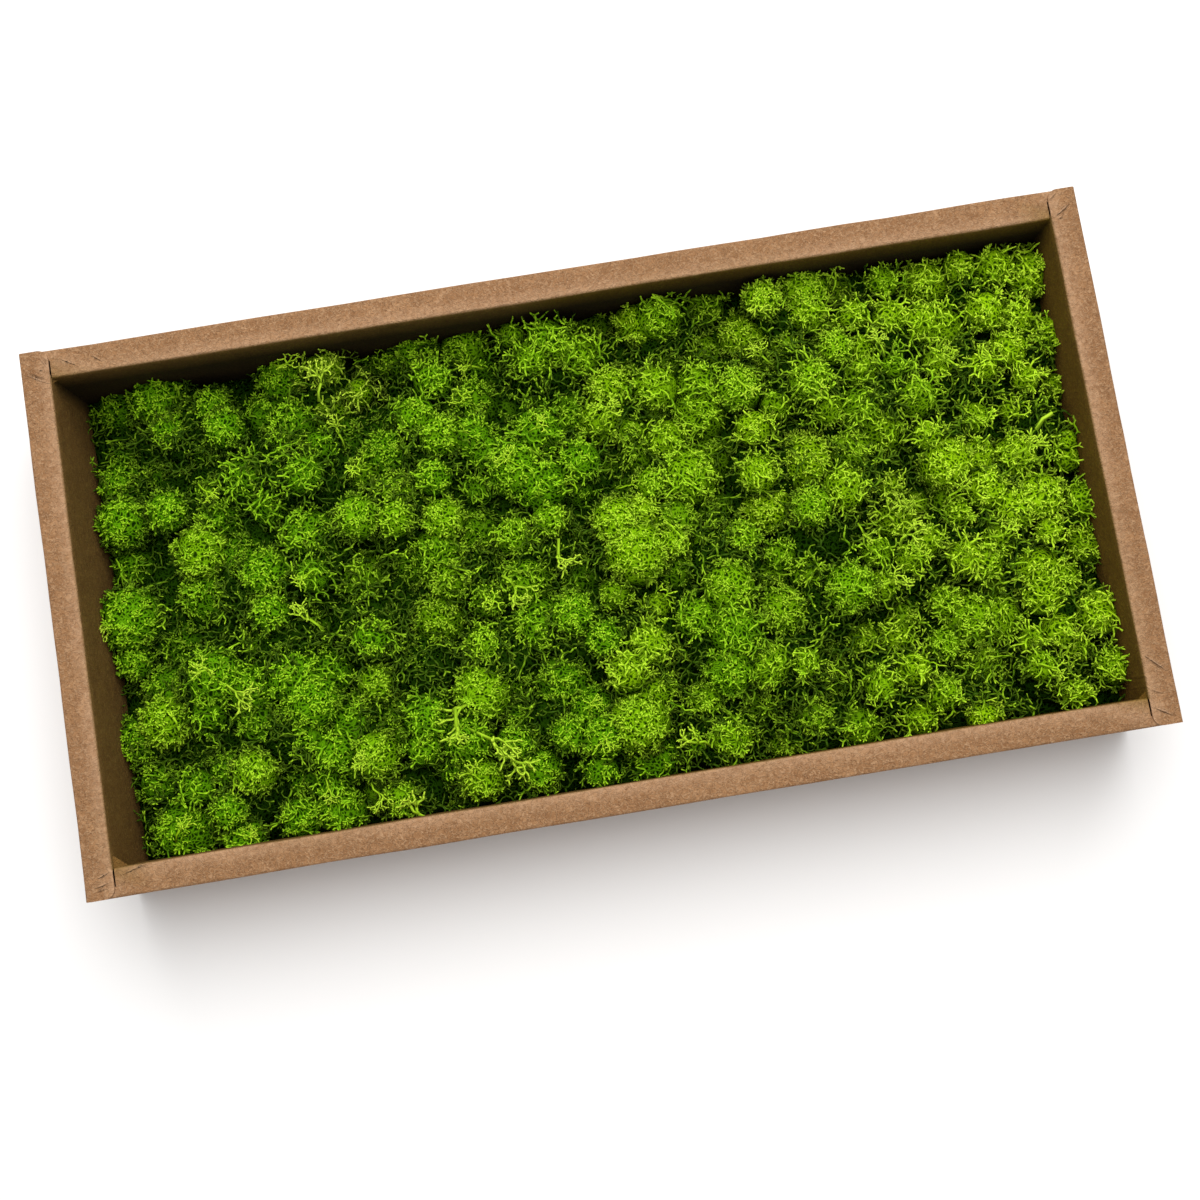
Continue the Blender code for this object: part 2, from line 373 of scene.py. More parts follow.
# painted highlight along each crease's ridge and painted shade along its groove, on top of their relief
pulp = tint(kraft, span(kraft, ridges, 0.1, 0.9, 0.75), pulp, (0.500, 0.310, 0.185))
pulp = tint(kraft, span(kraft, ridges, -0.1, -0.9, 0.6), pulp, (0.110, 0.050, 0.020))
state = node(kraft, "Attribute", {"attribute_name": "card_wear_and_shade"}, {}).outputs["Color"]
worn_in, wall_shade_in, back_wall_shade_in = node(kraft, "SeparateColor", {}, {"Color": state}).outputs
scuffs = noise(kraft, card_where, Scale=700, Detail=3, Roughness=0.7).outputs["Fac"]
scuffs = maths("MULTIPLY", scuffs, worn_in)
pulp = tint(kraft, span(kraft, scuffs, 0.20, 0.62, 0.8), pulp, (0.480, 0.290, 0.165))
# painted shade down inside the tray, tinted olive by painted light reflected off the moss
pulp = tint(kraft, wall_shade_in, pulp, (0.49, 0.47, 0.09), "MULTIPLY")
# painted shade down the back wall
pulp = tint(kraft, back_wall_shade_in, pulp, (0.14, 0.135, 0.02), "MULTIPLY")
grain = pale_fibres[0]
for source in (dark_fibres[0], mottle, curl_tops):
    grain = maths("ADD", grain, source)
rough = node(kraft, "Bump", {}, {"Strength": 0.7, "Distance": 0.00025, "Height": grain}).outputs["Normal"]
folds = node(kraft, "Bump", {}, {"Strength": 1, "Distance": 0.0005, "Height": ridges, "Normal": rough})
finish(kraft, 0.85, 0.2, {"Base Color": pulp, "Normal": folds.outputs["Normal"]})
tray.data.materials.clear()
tray.data.materials.append(kraft)
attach(tray, "root")
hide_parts("kraft_tray")

# The bed: where the moss heads stand in the tray. The real bed is clumps of reindeer moss pushed in by hand
# until they fill the tray, a little lower along the walls. The rule and its draws are those of the part's
# own source.
TUFT_COUNT = 24
HEAD_COUNT = 68
HEAD_RADIUS = (0.0150, 0.0180)
HEAD_FLATTENING = 0.85
HEAD_CORNERS = 1.15
CORNER_POWER = 7
MIDDLE_TOP = 0.0400
EDGE_TOP = 0.0300
EDGE_SLOPE = 0.0050
CROWN_POWERS = (4, 3)
HUMMOCK_RISE = 0.0020
HUMMOCK_SPAN = (0.023, 0.019)
HUMMOCK_START = (1, 2)
TOP_SCATTER = 0.0015
SPREAD_STEP = 0.0020
SPREAD_ROUNDS = 6
SEED = 11


def nearest(points, spots):
    """For each point, the number of the nearest spot."""
    return np.argmin(((points[:, None] - spots[None]) ** 2).sum(2), axis=1)


def spread(count, draw, corners):
    """Spots over the bed, rounded at its corners: random ones, moved to the middle of their shares."""
    x = np.arange(-INNER_X, INNER_X, SPREAD_STEP) + SPREAD_STEP / 2
    y = np.arange(-INNER_Y, INNER_Y, SPREAD_STEP) + SPREAD_STEP / 2
    bed = np.stack(np.meshgrid(x, y), axis=-1).reshape(-1, 2)
    bed = bed[(np.abs(bed / (INNER_X, INNER_Y)) ** CORNER_POWER).sum(1) < corners]
    spots = bed[draw.sample(range(len(bed)), count)]
    for _ in range(SPREAD_ROUNDS):
        share = nearest(bed, spots)
        spots = np.array([bed[share == spot].mean(axis=0) for spot in range(count)])
    return spots


def bed_top(x, y):
    """The height of the moss, which crowns in the middle, rises to the right, and has low hummocks."""
    u = np.minimum(1, np.abs(x) / INNER_X)
    v = np.minimum(1, np.abs(y) / INNER_Y)
    crown = (1 - u ** CROWN_POWERS[0]) * (1 - v ** CROWN_POWERS[1])
    edge = EDGE_TOP + EDGE_SLOPE * x / INNER_X
    along = np.sin(x / HUMMOCK_SPAN[0] + HUMMOCK_START[0])
    across = np.cos(y / HUMMOCK_SPAN[1] + HUMMOCK_START[1])
    return edge + (MIDDLE_TOP - edge) * crown + HUMMOCK_RISE * (along * across)


draw = random.Random(SEED)
tuft_spot = spread(TUFT_COUNT, draw, HEAD_CORNERS)
head_spot = spread(HEAD_COUNT, draw, HEAD_CORNERS)
head_tuft = nearest(head_spot, tuft_spot)
head_radius, head_middle = [], []
for x, y in head_spot.tolist():
    radius = draw.uniform(*HEAD_RADIUS)
    top = float(bed_top(x, y)) + draw.uniform(-TOP_SCATTER, TOP_SCATTER)
    head_radius.append(radius)
    head_middle.append((x, y, top - radius * HEAD_FLATTENING))
head_radius = np.array(head_radius)
head_middle = np.array(head_middle)

# The sprays: the outermost forks of the moss, 0.5 to 0.8 mm thick. Each is a short stem that forks two or
# three times in bowed branches with blunt tips. Close sprays make the dense lobes, and loose ones arch over
# the open, tangled lobes.
SPRAY_KINDS = 24
SIDES = 3
SIDE_HINT = (0.31, 0.89, 0.23)
CLOSE = {
    "lengths": (0.0009, 0.0012, 0.0013),
    "radii": (0.00037, 0.00032, 0.00029),
    "curved": (),
    "forks": ((3, 4), (2, 3)),
    "spread": ((0.45, 1.00), (0.50, 1.10)),
    "bow": 0.80,
    "flat": 1.00,
}
LOOSE = {
    "lengths": (0.0013, 0.0026, 0.0024, 0.0017),
    "radii": (0.00038, 0.00033, 0.00030, 0.00027),
    "curved": (1, 2),
    "forks": ((2, 3), (2, 2), (1, 2)),
    "spread": ((0.80, 1.30), (0.50, 1.00), (0.40, 0.90)),
    "bow": 1.00,
    "flat": 0.60,
}
LENGTH_SCATTER = (0.75, 1.25)
BOW_SCATTER = (0.4, 1.6)
TURN_SCATTER = 0.35
LOWEST_AIM = -0.25
ROOT_SUNK = 0.4
TIP_LENGTH = 0.45
TIP_TAPER = 0.85
TIP_POINT = 0.8
UP = (0, 0, 1.0)
grow = np.random.default_rng(SEED)


def unit(vector):
    return vector / np.linalg.norm(vector)


def tube(path, radii):
    """Points, triangles and the share of the way along, of a branch.

    It ends in a point where its path is longer than its radii, and else is cut off flat.
    """
    path = np.asarray(path, float)
    steps = np.diff(path, axis=0)
    aims = np.vstack([steps[:1], steps[:-1] + steps[1:], steps[-1:]])
    side = np.cross(unit(aims[0]), SIDE_HINT)
    rings = []
    for centre, aim, radius in zip(path, aims, radii):
        aim = unit(aim)
        side = unit(side - aim * (side @ aim))
        other = np.cross(aim, side)
        for k in range(SIDES):
            turn = math.tau * k / SIDES
            rings.append(centre + radius * (side * math.cos(turn) + other * math.sin(turn)))
    points = np.vstack([rings, path[len(radii) :]])
    faces = [(0, k + 1, k) for k in range(1, SIDES - 1)]
    for ring in range(len(radii) - 1):
        for k in range(SIDES):
            a = ring * SIDES + k
            b = ring * SIDES + (k + 1) % SIDES
            faces += [(a, b, b + SIDES), (a, b + SIDES, a + SIDES)]
    rim = (len(radii) - 1) * SIDES
    if len(path) > len(radii):
        faces += [(rim + k, rim + (k + 1) % SIDES, rim + SIDES) for k in range(SIDES)]
    else:
        faces += [(rim, rim + k, rim + k + 1) for k in range(1, SIDES - 1)]
    lengths = np.concatenate([[0], np.cumsum(np.linalg.norm(steps, axis=1))])
    share = np.concatenate([np.repeat(lengths[: len(radii)], SIDES), lengths[len(radii) :]]) / lengths[-1]
    return points, np.array(faces), share


def merged(tubes):
    """Several tubes as one set of points and triangles, with how far each point is from root to tip."""
    points, faces, ages = [], [], []
    count = 0
    for (tube_points, tube_faces, share), start, end in tubes:
        points.append(tube_points)
        faces.append(tube_faces + count)
        ages.append(start + (end - start) * share)
        count += len(tube_points)
    return np.vstack(points), np.vstack(faces), np.concatenate(ages)


def branch(tubes, start, aim, rule, level=0):
    """Adds one branch and, at its end, the branches that fork from it."""
    levels = len(rule["lengths"])
    length = rule["lengths"][level] * grow.uniform(*LENGTH_SCATTER)
    radius = rule["radii"][level]
    aside = unit(np.cross(aim, grow.normal(0, 1, 3)))
    bow = unit(aim + aside * rule["bow"] * grow.uniform(*BOW_SCATTER))
    ages = (level / levels, (level + 1) / levels)
    if level == levels - 1:
        end = start + (aim + bow) * length * TIP_LENGTH
        tip = end + bow * radius * TIP_POINT
        tubes.append((tube((start, end, tip), (radius, TIP_TAPER * radius)), *ages))
        return
    root = start - aim * radius * ROOT_SUNK
    middle = start + aim * length * 0.5
    end = middle + bow * length * 0.5
    path = (root, middle, end) if level in rule["curved"] else (root, end)
    tubes.append((tube(path, (radius,) * len(path)), *ages))
    count = grow.integers(*rule["forks"][level], endpoint=True)
    aside = unit(np.cross(bow, grow.normal(0, 1, 3)))
    across = np.cross(bow, aside)
    for k in range(count):
        turn = math.tau * k / max(2, count) + grow.normal(0, TURN_SCATTER)
        tilt = grow.uniform(*rule["spread"][level])
        out = bow * math.cos(tilt) + (aside * math.cos(turn) + across * math.sin(turn)) * math.sin(tilt)
        out[2] = max(out[2] * rule["flat"], LOWEST_AIM)
        branch(tubes, end, unit(out), rule, level + 1)


def spray(rule, hidden=0):
    """One spray, less the first of its branches where they are hidden."""
    tubes = []
    branch(tubes, np.zeros(3), np.array(UP), rule)
    return merged(tubes[hidden:])


close_sprays = [spray(CLOSE, 1) for _ in range(SPRAY_KINDS)]
loose_sprays = [spray(LOOSE) for _ in range(SPRAY_KINDS)]
sprays = close_sprays + loose_sprays
spray_height = np.array([points[:, 2].max() for points, _, _ in sprays])

# The lobes: the rounded lumps of the heads, like those of a cauliflower, each the end of one main branch
# with its sprays all over its outer side. To the left they are larger, further apart and in higher relief.
# To the right they are younger, and so more open and yellower.
LOBE_COUNT = 300
LOBE_CORNERS = 1.6
LOBE_SHIFT = 0.0016
CROWDING = 0.12
LOBE_SIZE = (0.0067, 0.0114)
SIZE_FALL = 0.07
LOBE_RISE = 0.0021
HIGHEST_TOP = 0.0430
RELIEF_FALL = 0.35
VALLEY_DEPTH = 0.0086
WALL_VALLEY_DEPTH = 0.0035
WALL_VALLEY_POWER = 6
CLOSE_SPACING = 0.0031
LOOSE_SPACING = 0.0047
LOWEST_FACING = -0.05
AIM_JITTER = 0.09
SEEN_DEPTH = 0.013
COVERED = 0.0040
SUNK = 0.0008
ROUGH = (0.0002, 0.0010)

# how yellow and how open the heads are: the value in mid tray, its gain to the right end, and its scatter
HEAD_TONE = (0.21, 0.64, 0.14)
HEAD_OPEN = (0.36, 0.22, 0.24)
LOBE_TONE_SCATTER = 0.10
LOBE_OPEN_SCATTER = 0.22
YELLOWEST = 0.85


def heads_top(x, y):
    """The height of the heads' rounded tops, and of the tangle between them."""
    across = ((np.stack([x, y], axis=-1)[..., None, :] - head_middle[:, :2]) ** 2).sum(-1)
    rise = HEAD_FLATTENING * np.sqrt(np.maximum(0, head_radius**2 - across))
    top = np.where(rise > 0, head_middle[:, 2] + rise, 0).max(axis=-1)
    to_wall = np.maximum(np.abs(x) / INNER_X, np.abs(y) / INNER_Y) ** WALL_VALLEY_POWER
    valley = VALLEY_DEPTH - (VALLEY_DEPTH - WALL_VALLEY_DEPTH) * to_wall
    return np.maximum(top, bed_top(x, y) - valley * (1 - RELIEF_FALL * x / INNER_X))


def over_heads(middle, gain, scatter):
    """A value for each head, with its gain to the right and its scatter."""
    rightward = head_middle[:, 0] / INNER_X
    return middle + gain * rightward + grow.normal(0, scatter, HEAD_COUNT)


lobe_spot = spread(LOBE_COUNT, draw, LOBE_CORNERS) + grow.normal(0, LOBE_SHIFT, (LOBE_COUNT, 2))
lobe_spot[:, 0] += CROWDING * INNER_X * np.maximum(0, 1 - (lobe_spot[:, 0] / INNER_X) ** 2)
lobe_right = lobe_spot[:, 0] / INNER_X
lobe_size = grow.uniform(*LOBE_SIZE, LOBE_COUNT) * (1 - SIZE_FALL * lobe_right)
lobe_shift = grow.normal(0, LOBE_RISE, LOBE_COUNT) * (1 - RELIEF_FALL * lobe_right)
head_tone = over_heads(*HEAD_TONE)
head_open = over_heads(*HEAD_OPEN)
lobe_head = nearest(lobe_spot, head_spot)
lobe_tone = head_tone[lobe_head] + grow.normal(0, LOBE_TONE_SCATTER, LOBE_COUNT)
lobe_tone = np.clip(lobe_tone, 0, YELLOWEST)
lobe_open = head_open[lobe_head] + grow.normal(0, LOBE_OPEN_SCATTER, LOBE_COUNT)
lobe_open = np.clip(lobe_open, 0, 1)
lobe_pale = np.zeros(LOBE_COUNT)

# the plainest of the photographed lobes: dense balls that stand clear of the others, with place and radius
BALLS = (
    (-0.0466, -0.0140, 0.0100),
    (-0.1044, -0.0484, 0.0084),
    (-0.0669, -0.0289, 0.0076),
    (-0.0699, -0.0493, 0.0088),
    (-0.1282, -0.0301, 0.0100),
    (-0.0412, -0.0609, 0.0082),
    (-0.1110, 0.0163, 0.0105),
    (-0.0374, -0.0366, 0.0105),
)
BALL_RISE = 0.0018
BALL_OPEN = 0.1
BALL_TONE = 0.36
BESIDE = -0.0032
BESIDE_REACH = 0.003

# the places where the lobes leave a deep hollow
HOLLOWS = (
    (-0.0242, -0.0327),
    (-0.0548, 0.0530),
    (-0.0684, 0.0272),
    (0.0188, -0.0408),
    (-0.0457, -0.0258),
    (0.0724, -0.0099),
    (0.0029, 0.0473),
    (-0.0943, -0.0176),
    (0.1036, -0.0591),
    (-0.1251, -0.0425),
    (0.0672, -0.0387),
    (0.0305, -0.0112),
)
HOLLOW_DEPTH = -0.0065
OUT_OF_REACH = 1
ball_lobes = []
for x, y, radius in BALLS:
    away = np.hypot(lobe_spot[:, 0] - x, lobe_spot[:, 1] - y)
    ball_lobe = np.argmin(away)
    ball_lobes.append(ball_lobe)
    lobe_shift[away < radius + BESIDE_REACH] = BESIDE
    lobe_spot[ball_lobe] = (x, y)
    lobe_size[ball_lobe] = radius
    lobe_shift[ball_lobe] = BALL_RISE
    lobe_open[ball_lobe] = BALL_OPEN
    lobe_tone[ball_lobe] = BALL_TONE
for x, y in HOLLOWS:
    away = np.hypot(lobe_spot[:, 0] - x, lobe_spot[:, 1] - y)
    away[ball_lobes] = OUT_OF_REACH
    lobe_shift[np.argmin(away)] = HOLLOW_DEPTH
lobe_head = nearest(lobe_spot, head_spot)
lobe_top = np.minimum(heads_top(lobe_spot[:, 0], lobe_spot[:, 1]) + lobe_shift, HIGHEST_TOP)
lobe_middle = np.column_stack([lobe_spot, lobe_top - lobe_size])

# three tufts stand out from the rest: a greyer one near the back, a yellow tangle at the right and an open
# one below it, each with its place, reach, tone, openness and paleness
ODD_TUFTS = (
    (-0.067, 0.060, 0.010, 0.55, 1.0, 0.40),
    (0.092, 0.044, 0.006, 1.00, 0.45, 0.25),
    (0.085, -0.006, 0.009, 0.90, 0.9, 0.15),
)
for x, y, reach, tone, openness, paleness in ODD_TUFTS:
    odd_lobes = np.hypot(lobe_spot[:, 0] - x, lobe_spot[:, 1] - y) < reach
    lobe_tone[odd_lobes] = tone
    lobe_open[odd_lobes] = openness
    lobe_pale[odd_lobes] = paleness


def fan(count, lowest, jitter):
    """Directions spread evenly over a sphere, down to a lowest height."""
    k = np.arange(count) + 0.5
    z = 1 - (1 - lowest) * k / count
    turn = k * math.pi * (3 - math.sqrt(5)) + grow.uniform(0, math.tau)
    flat = np.sqrt(np.maximum(0, 1 - z * z))
    aims = np.column_stack([flat * np.cos(turn), flat * np.sin(turn), z])
    aims = aims + grow.normal(0, jitter, (count, 3))
    return aims / np.linalg.norm(aims, axis=1)[:, None]


def cover(points):
    """The height of the lobes over each point, or 0 where there are none."""
    across = ((points[:, None, :2] - lobe_middle[None, :, :2]) ** 2).sum(-1)
    rise = np.sqrt(np.maximum(0, lobe_size**2 - across))
    return np.where(rise > 0, lobe_middle[:, 2] + rise, 0).max(axis=1)


# where each spray stands and points, less those that lie inside a lobe, deep under one, or in the walls
spray_place, spray_aim, lobe_of = [], [], []
for number, size in enumerate(lobe_size):
    spacing = CLOSE_SPACING + (LOOSE_SPACING - CLOSE_SPACING) * lobe_open[number]
    count = int((1 - LOWEST_FACING) * math.tau * size**2 / spacing**2)
    aims = fan(count, LOWEST_FACING, AIM_JITTER)
    rough = ROUGH[0] + (ROUGH[1] - ROUGH[0]) * lobe_open[number]
    spray_place.append(lobe_middle[number] + aims * (size + grow.normal(0, rough, (count, 1))))
    spray_aim.append(aims)
    lobe_of.append(np.full(count, number))
spray_place = np.vstack(spray_place)
spray_aim = np.vstack(spray_aim)
lobe_of = np.concatenate(lobe_of)
shown = cover(spray_place) < spray_place[:, 2] + COVERED
for number, size in enumerate(lobe_size):
    gap = np.linalg.norm(spray_place - lobe_middle[number], axis=1)
    shown &= (gap > size - SUNK) | (lobe_of == number)
shown &= spray_place[:, 2] > bed_top(spray_place[:, 0], spray_place[:, 1]) - SEEN_DEPTH
shown &= (np.abs(spray_place[:, 0]) < INNER_X) & (np.abs(spray_place[:, 1]) < INNER_Y)
spray_place, spray_aim, lobe_of = spray_place[shown], spray_aim[shown], lobe_of[shown]

# The moss's colour: dark at the root of a branch and yellower at its tip. Each lobe has its own tone and the
# sprigs are paler. Painted shade makes what lies deep in the bed, and the lower sides of the lobes, nearly
# black. The insides of the lobes are a dense net of the same strands, and have it as a pattern, with painted
# shade between its strands, and a relief.
moss_green = bpy.data.materials.new("moss_green")
moss_inside = bpy.data.materials.new("moss_inside")
growth_and_shade_of = {}
for material in (moss_green, moss_inside):
    material.use_nodes = True
    read = node(material, "Attribute", {"attribute_name": "growth_and_shade"}, {})
    split = node(material, "SeparateColor", {}, {"Color": read.outputs["Color"]})
    growth_and_shade_of[material] = [*split.outputs, read.outputs["Alpha"]]


def ramp(material, source, places, colours):
    """Colours along the source, with their places from 0 to 1."""
    made = node(material, "ValToRGB", {}, {"Fac": source})
    made.color_ramp.elements.remove(made.color_ramp.elements[1])
    made.color_ramp.elements[0].position = places[0]
    made.color_ramp.elements[0].color = (*colours[0], 1)
    for place, colour in zip(places[1:], colours[1:]):
        made.color_ramp.elements.new(place).color = (*colour, 1)
    return made.outputs["Color"]


age_in, tone_in, pale_in, shade_in = growth_and_shade_of[moss_green]
aged = (0, 0.5, 1)
deep = ramp(moss_green, age_in, aged, ((0.038, 0.125, 0.001), (0.174, 0.418, 0.003), (0.372, 0.665, 0.016)))
lime = ramp(moss_green, age_in, aged, ((0.088, 0.225, 0.001), (0.400, 0.680, 0.007), (0.610, 0.870, 0.045)))
pale = ramp(moss_green, age_in, aged, ((0.300, 0.440, 0.025), (0.450, 0.600, 0.045), (0.600, 0.740, 0.080)))
green = tint(moss_green, pale_in, tint(moss_green, tone_in, deep, lime), pale)
# painted shade, deep in the bed and low on the sides of the lobes
green = tint(moss_green, shade_in, green, (0.010, 0.032, 0.001))
finish(moss_green, 0.6, 0.1, {"Base Color": green})

age_in, tone_in, pale_in, shade_in = growth_and_shade_of[moss_inside]
moss_where = node(moss_inside, "TexCoord", {}, {}).outputs["Object"]
bent = noise(moss_inside, moss_where, Scale=420, Detail=1).outputs["Color"]
bent = node(moss_inside, "VectorMath", {"operation": "SCALE"}, {0: bent, "Scale": 0.0022}).outputs[0]
bent = node(moss_inside, "VectorMath", {"operation": "ADD"}, {0: moss_where, 1: bent}).outputs[0]
net = node(moss_inside, "TexVoronoi", {"feature": "DISTANCE_TO_EDGE"}, {"Scale": 820, "Vector": bent})
net = net.outputs["Distance"]
# the net is light along its strands, with painted shade in the gaps between them
netted = (0.05, 0.15, 0.30)
deep = ramp(moss_inside, net, netted, ((0.114, 0.305, 0.003), (0.040, 0.119, 0.002), (0.006, 0.021, 0.001)))
lime = ramp(moss_inside, net, netted, ((0.320, 0.555, 0.005), (0.118, 0.247, 0.003), (0.019, 0.052, 0.001)))
# painted shade, deep in the bed and low on the sides of the lobes
shaded_net = ramp(moss_inside, net, netted, ((0.014, 0.045, 0.001), (0.006, 0.020, 0.001), (0.001, 0.004, 0.0003)))
inside = tint(moss_inside, shade_in, tint(moss_inside, tone_in, deep, lime), shaded_net)
relief = node(moss_inside, "Bump", {"invert": True}, {"Strength": 0.8, "Distance": 0.0008, "Height": net})
finish(moss_inside, 1, 0, {"Base Color": inside, "Normal": relief.outputs["Normal"]})

# The matted old stems under the heads: a layer, painted near-black as shade, that fills the tray from its
# base up to the undersides of the heads. Each tuft has its own share of it.
MAT_DEPTH = 0.0130
MAT_STEP = 0.0030
MAT_FOOT = 0.0012
MAT_INSET = 0.0003


def mat_of(tuft):
    """A closed layer over the tuft's share of the bed, as points and triangles."""
    nx = round(2 * INNER_X / MAT_STEP)
    ny = round(2 * INNER_Y / MAT_STEP)
    x = np.linspace(-INNER_X + MAT_INSET, INNER_X - MAT_INSET, nx + 1)
    y = np.linspace(-INNER_Y + MAT_INSET, INNER_Y - MAT_INSET, ny + 1)
    grid = np.stack(np.meshgrid(x, y), axis=-1).reshape(-1, 2)
    top = np.column_stack([grid, bed_top(grid[:, 0], grid[:, 1]) - MAT_DEPTH])
    foot = np.column_stack([grid, np.full(len(grid), MAT_FOOT)])
    column, row = np.meshgrid(np.arange(nx), np.arange(ny))
    first = (row * (nx + 1) + column).ravel()
    cells = np.column_stack([first, first + 1, first + nx + 2, first + nx + 1])
    middles = grid[cells].mean(axis=1)
    cells = cells[head_tuft[nearest(middles, head_spot)] == tuft]
    sides = np.vstack([cells[:, [k, (k + 1) % 4]] for k in range(4)])
    taken = set(map(tuple, sides.tolist()))
    rim = np.array([side for side in sides.tolist() if (side[1], side[0]) not in taken])
    below = len(grid)
    faces = [cells[:, [0, 1, 2]], cells[:, [0, 2, 3]]]
    faces += [cells[:, [0, 2, 1]] + below, cells[:, [0, 3, 2]] + below]
    faces.append(np.column_stack([rim[:, 0], rim[:, 0] + below, rim[:, 1] + below]))
    faces.append(np.column_stack([rim[:, 0], rim[:, 1] + below, rim[:, 1]]))
    faces = np.vstack(faces)
    used, faces = np.unique(faces, return_inverse=True)
    return np.vstack([top, foot])[used], faces.reshape(-1, 3)


# The tangle in the clefts: loose sprays that stand wherever the lobes leave the heads bare, so that the
# clefts between them are full of strands, as in the real moss.
FILL_SPACING = 0.0042
FILL_BELOW = 0.0026
FILL_MARGINS = (0.002, 0.001)
FILL_SHIFT = 0.0010
FILL_LEAN = 0.35
FILL_TONE = 0.3
# a made-up lobe that sets the tangle's painted shade: its top above the spray, and its size
FILL_SUNK = 0.003
FILL_LOBE = 0.006
fill_x = np.arange(-INNER_X + FILL_MARGINS[0], INNER_X - FILL_MARGINS[1], FILL_SPACING)
fill_y = np.arange(-INNER_Y + FILL_MARGINS[0], INNER_Y - FILL_MARGINS[1], FILL_SPACING)
fill = np.stack(np.meshgrid(fill_x, fill_y), axis=-1).reshape(-1, 2)
fill = fill + grow.normal(0, FILL_SHIFT, fill.shape)
fill = fill[cover(fill) < heads_top(fill[:, 0], fill[:, 1]) - FILL_BELOW]
fill_tuft = head_tuft[nearest(fill, head_spot)]

# The sprigs: loose, open ends of branches like small antlers, which lie over the heads. They are paler than
# the rest, from 1.1 mm thick where they broke off to 0.6 mm at their tips. The first few lie where the
# photographed ones do: place, heading in degrees, lift, size and paleness. The others are strewn at random.
SPRIG = {
    "lengths": (0.0052, 0.0032, 0.0024, 0.0018, 0.0013),
    "radii": (0.00055, 0.00044, 0.00038, 0.00034, 0.00031),
    "curved": (0, 1, 2, 3),
    "forks": ((2, 3), (2, 3), (2, 2), (1, 2)),
    "spread": ((0.35, 0.80), (0.45, 0.95), (0.50, 1.05), (0.50, 1.10)),
    "bow": 0.60,
    "flat": 1.00,
}
SPRIG_KINDS = 12
SPRIG_FLATNESS = 0.55
SPRIG_TOP = 0.0444
SPRIG_BACK = 0.004
SPRIG_AGES = (0.35, 0.65)
SPRIG_TONE = 0.65
SPRIG_SHADE = 0.7
PLACED_SPRIGS = (
    (-0.0385, -0.0490, -33, 0.30, 1.20, 0.30),
    (-0.0310, -0.0545, -60, 0.10, 1.00, 0.28),
    (-0.0410, -0.0400, -120, 0.20, 1.15, 0.30),
    (-0.0455, -0.0440, -95, 0.15, 0.95, 0.25),
    (-0.1065, -0.0240, -32, 0.25, 0.90, 0.35),
    (-0.0600, -0.0690, 160, 0.20, 1.00, 0.30),
    (0.0860, -0.0120, 70, 0.30, 0.90, 0.30),
    (0.0910, -0.0040, 150, 0.30, 0.80, 0.30),
    (0.0900, 0.0410, 100, 0.50, 0.60, 0.40),
    (-0.0240, -0.0080, -40, 0.20, 0.90, 0.25),
    (-0.0100, -0.0020, -100, 0.15, 0.90, 0.30),
    (-0.1370, 0.0000, -110, 0.10, 0.80, 0.45),
    (-0.0700, 0.0560, 80, 0.40, 0.90, 0.45),
)
STREWN_SPRIGS = 40
STREWN_LIFT = (0.1, 0.6)
STREWN_SIZE = (0.5, 0.85)
STREWN_PALENESS = (0, 0.25)
sprig_kinds = [spray(SPRIG) for _ in range(SPRIG_KINDS)]
sprig_spots = []
for x, y, heading, lift, size, paleness in PLACED_SPRIGS:
    sprig_spots.append((x, y, math.radians(heading), lift, size, paleness))
for lobe in grow.choice(LOBE_COUNT, STREWN_SPRIGS, replace=False):
    heading = grow.uniform(0, math.tau)
    others = [grow.uniform(*limits) for limits in (STREWN_LIFT, STREWN_SIZE, STREWN_PALENESS)]
    sprig_spots.append((*lobe_spot[lobe], heading, *others))
sprig_tuft = head_tuft[nearest(np.array([spot[:2] for spot in sprig_spots]), head_spot)]

# a thicker, bare and broken stub that pokes out by the right wall, with its age, tone, paleness and painted
# shade
STUB = ((0.1288, 0.0112, 0.0352), (0.1308, 0.0136, 0.0366), (0.1336, 0.0147, 0.0372))
STUB_RADIUS = 0.0008
STUB_GROWTH_AND_SHADE = (0.8, 0.6, 0.2, 0)
stub_tuft = head_tuft[nearest(np.array([STUB[0][:2]]), head_spot)][0]

# The tufts of heads: their lobes' sprays, the tangle and the sprigs, on rounded cores painted dark with
# shade, that stand for the old stems inside. Each tuft is one piece on its own share of the mat, pressed
# against the next.
CLOSE_CORE = 0.0014
LOOSE_CORE = 0.0030
HEAD_CORE = (0.70, 0.70, 0.40)
# how painted shade darkens the moss: with depth in the bed, and down the sides of each lobe, less so to the
# right
DEPTH_SHADE_FROM = 0.0038
DEPTH_SHADE_TO = 0.0140
DEPTH_SHADE_MOST = 0.9
SIDE_SHADE_FROM = 0.16
SIDE_SHADE_TO = 0.85
SIDE_SHADE_RISE = 0.10
SIDE_SHADE_MOST = 0.85
CORE_SIDE_SHADE = 0.9
CLOSE_LEAN = 0.10
LOOSE_LEAN = 0.25
SPRAY_SIZE = (0.85, 1.15)
SPRAY_SUNK = 0.92
SPRAY_TONE_SCATTER = 0.08
WALL_GAP = 0.0002
NUDGE = (0, 1e-3, 0)


def ball(detail):
    """An icosphere's points and triangles."""
    bpy.ops.mesh.primitive_ico_sphere_add(subdivisions=detail, radius=1)
    source = bpy.context.object
    points = np.array([v.co for v in source.data.vertices])
    faces = np.array([tuple(p.vertices) for p in source.data.polygons])
    bpy.data.objects.remove(source)
    return points, faces


